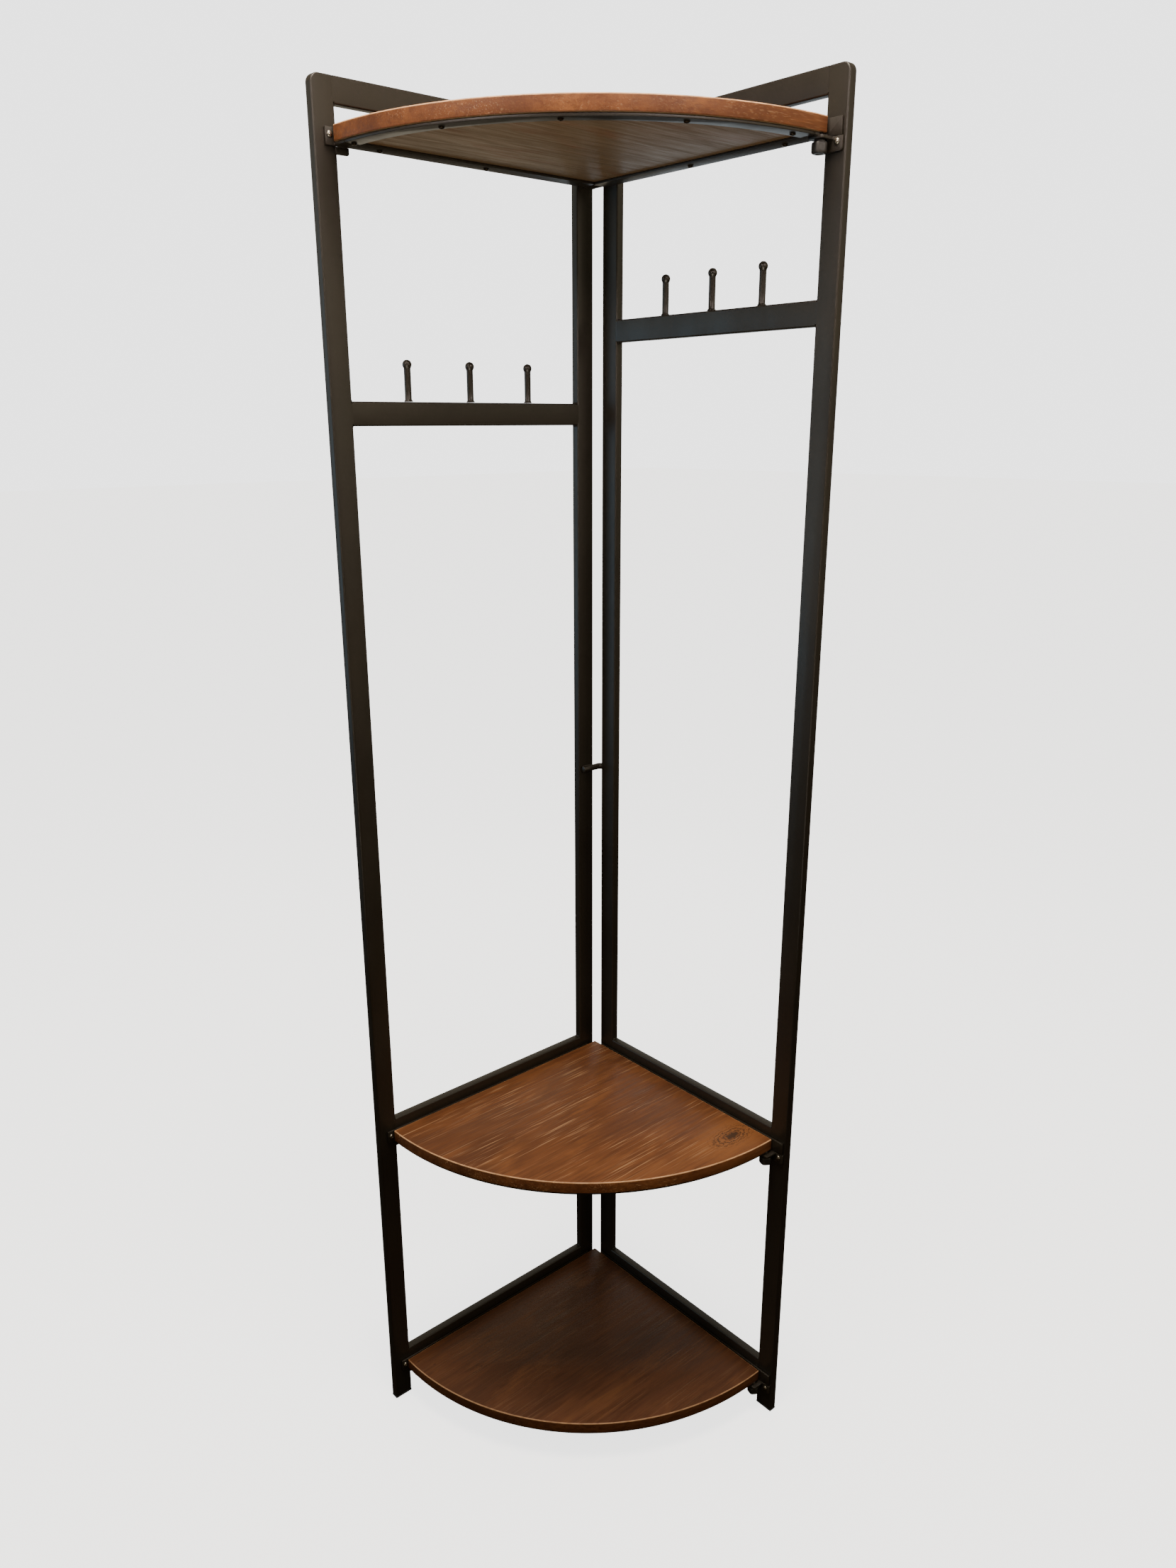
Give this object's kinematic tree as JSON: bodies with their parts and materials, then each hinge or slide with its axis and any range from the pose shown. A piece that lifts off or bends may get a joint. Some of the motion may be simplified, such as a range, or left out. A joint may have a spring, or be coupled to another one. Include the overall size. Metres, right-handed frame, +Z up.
{
  "type": "corner_hall_tree",
  "caption": "Corner hall tree in black steel tube with upright hook pegs and quarter-round rustic wooden shelves",
  "frame": {"origin": "centre of the footprint box, on the floor", "axes": "+Z up; +X along the right panel away from the corner; -Y along the left panel away from the corner; the panels close the -X and +Y sides"},
  "size_m": [0.411, 0.427, 1.8],
  "materials": {
    "powder_coated_steel": "satin",
    "shelf_wood": "satin",
    "foot_cap_plastic": "matte",
    "knob_plastic": "matte",
    "zinc_plated_bolt": "satin",
    "dark_screw_steel": "satin"
  },
  "bodies": {
    "frame_and_shelves": {"left_outer_post": "powder_coated_steel", "left_inner_post": "powder_coated_steel", "left_top_rail": "powder_coated_steel", "left_hook_rail": "powder_coated_steel", "left_middle_shelf_rail": "powder_coated_steel", "left_bottom_shelf_rail": "powder_coated_steel", "right_outer_post": "powder_coated_steel", "right_inner_post": "powder_coated_steel", "right_top_rail": "powder_coated_steel", "right_hook_rail": "powder_coated_steel", "right_middle_shelf_rail": "powder_coated_steel", "right_bottom_shelf_rail": "powder_coated_steel", "left_peg_1": "powder_coated_steel", "left_peg_2": "powder_coated_steel", "left_peg_3": "powder_coated_steel", "right_peg_1": "powder_coated_steel", "right_peg_2": "powder_coated_steel", "right_peg_3": "powder_coated_steel", "left_inner_foot_cap": "foot_cap_plastic", "left_outer_foot_cap": "foot_cap_plastic", "right_inner_foot_cap": "foot_cap_plastic", "right_outer_foot_cap": "foot_cap_plastic", "top_corner_strap": "powder_coated_steel", "middle_corner_link": "powder_coated_steel", "top_shelf_board": "shelf_wood", "top_shelf_left_angle": "powder_coated_steel", "top_shelf_right_angle": "powder_coated_steel", "top_shelf_front_strip": "powder_coated_steel", "top_shelf_left_tab": "powder_coated_steel", "top_shelf_right_lug": "powder_coated_steel", "top_shelf_left_bolt": "zinc_plated_bolt", "top_shelf_right_bolt": "zinc_plated_bolt", "middle_shelf_board": "shelf_wood", "middle_shelf_left_angle": "powder_coated_steel", "middle_shelf_right_angle": "powder_coated_steel", "middle_shelf_front_strip": "powder_coated_steel", "middle_shelf_left_tab": "powder_coated_steel", "middle_shelf_right_lug": "powder_coated_steel", "middle_shelf_left_bolt": "zinc_plated_bolt", "middle_shelf_right_bolt": "zinc_plated_bolt", "bottom_shelf_board": "shelf_wood", "bottom_shelf_left_angle": "powder_coated_steel", "bottom_shelf_right_angle": "powder_coated_steel", "bottom_shelf_front_strip": "powder_coated_steel", "bottom_shelf_left_tab": "powder_coated_steel", "bottom_shelf_right_lug": "powder_coated_steel", "bottom_shelf_left_bolt": "zinc_plated_bolt", "bottom_shelf_right_bolt": "zinc_plated_bolt", "top_shelf_screw_front_1": "dark_screw_steel", "top_shelf_screw_front_2": "dark_screw_steel", "top_shelf_screw_front_3": "dark_screw_steel", "top_shelf_screw_front_4": "dark_screw_steel", "top_shelf_screw_front_5": "dark_screw_steel", "top_shelf_screw_left_1": "dark_screw_steel", "top_shelf_screw_left_2": "dark_screw_steel", "top_shelf_screw_right_1": "dark_screw_steel", "top_shelf_screw_right_2": "dark_screw_steel"},
    "top_knob": {"top_shelf_knob": "knob_plastic"},
    "middle_knob": {"middle_shelf_knob": "knob_plastic"},
    "bottom_knob": {"bottom_shelf_knob": "knob_plastic"}
  },
  "joints": [
    {"name": "top_shelf_knob_turn", "type": "hinge", "parent": "frame_and_shelves", "child": "top_knob", "pos_m": [0.1805, 0.1883, 1.7266], "axis": [0, 0, -1], "range_deg": [0, 360]},
    {"name": "middle_shelf_knob_turn", "type": "hinge", "parent": "frame_and_shelves", "child": "middle_knob", "pos_m": [0.1805, 0.1883, 0.4526], "axis": [0, 0, -1], "range_deg": [0, 360]},
    {"name": "bottom_shelf_knob_turn", "type": "hinge", "parent": "frame_and_shelves", "child": "bottom_knob", "pos_m": [0.1805, 0.1883, 0.0446], "axis": [0, 0, -1], "range_deg": [0, 360]}
  ]
}
